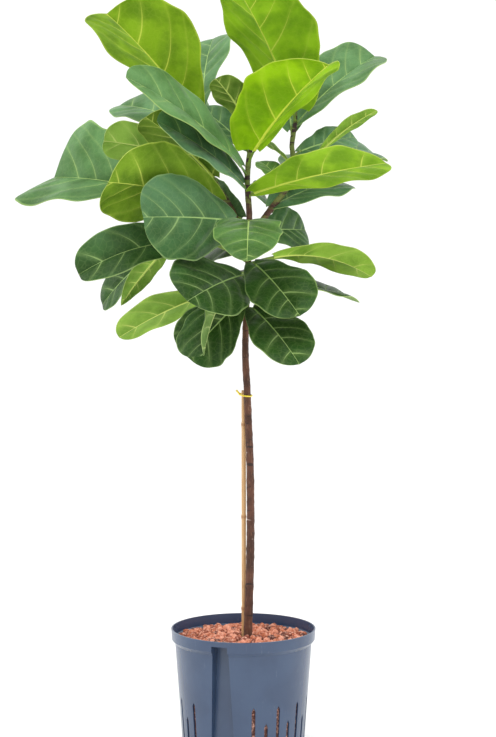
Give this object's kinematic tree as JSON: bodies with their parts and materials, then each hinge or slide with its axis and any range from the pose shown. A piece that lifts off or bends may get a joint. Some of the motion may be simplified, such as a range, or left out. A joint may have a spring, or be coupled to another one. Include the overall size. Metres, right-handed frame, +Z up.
{
  "type": "potted fiddle leaf fig",
  "caption": "Fiddle leaf fig grown as a small standard tree, tied to a bamboo cane, in a round slotted plastic pot filled with clay pebbles.",
  "frame": {"origin": "centre of the pot's round base, on its underside", "axes": "+Z up along the pot's axis, -Y the side the picture shows, +X to its right"},
  "size_m": [0.5851, 0.3945, 1.1416],
  "materials": {
    "pot_plastic": "satin",
    "clay_pebbles": "matte",
    "bark": "matte",
    "bamboo": "satin",
    "tie_wire": "satin",
    "leaf": "satin"
  },
  "bodies": {
    "root": {"pot": "pot_plastic", "pebbles": "clay_pebbles", "stem": "bark", "cane": "bamboo", "tie": "tie_wire", "left_leaf_1": "leaf", "left_leaf_2": "leaf", "left_leaf_3": "leaf", "left_leaf_4": "leaf", "left_leaf_5": "leaf", "left_leaf_6": "leaf", "left_leaf_7": "leaf", "left_leaf_8": "leaf", "left_leaf_9": "leaf", "right_leaf_1": "leaf", "right_leaf_2": "leaf", "right_leaf_3": "leaf", "right_leaf_4": "leaf", "right_leaf_5": "leaf", "right_leaf_6": "leaf", "right_leaf_7": "leaf", "right_leaf_8": "leaf", "right_leaf_9": "leaf", "right_leaf_10": "leaf", "trunk_leaf_1": "leaf", "trunk_leaf_2": "leaf", "trunk_leaf_3": "leaf", "trunk_leaf_4": "leaf", "trunk_leaf_5": "leaf", "trunk_leaf_6": "leaf", "trunk_leaf_7": "leaf", "trunk_leaf_8": "leaf", "trunk_leaf_9": "leaf", "trunk_leaf_10": "leaf", "trunk_leaf_11": "leaf", "trunk_leaf_12": "leaf", "trunk_leaf_13": "leaf", "trunk_leaf_14": "leaf", "trunk_leaf_15": "leaf", "trunk_leaf_16": "leaf", "trunk_leaf_17": "leaf", "trunk_leaf_18": "leaf", "trunk_leaf_19": "leaf", "trunk_leaf_20": "leaf", "trunk_leaf_21": "leaf", "trunk_leaf_22": "leaf", "trunk_leaf_23": "leaf", "trunk_leaf_24": "leaf", "trunk_leaf_25": "leaf"}
  },
  "joints": []
}
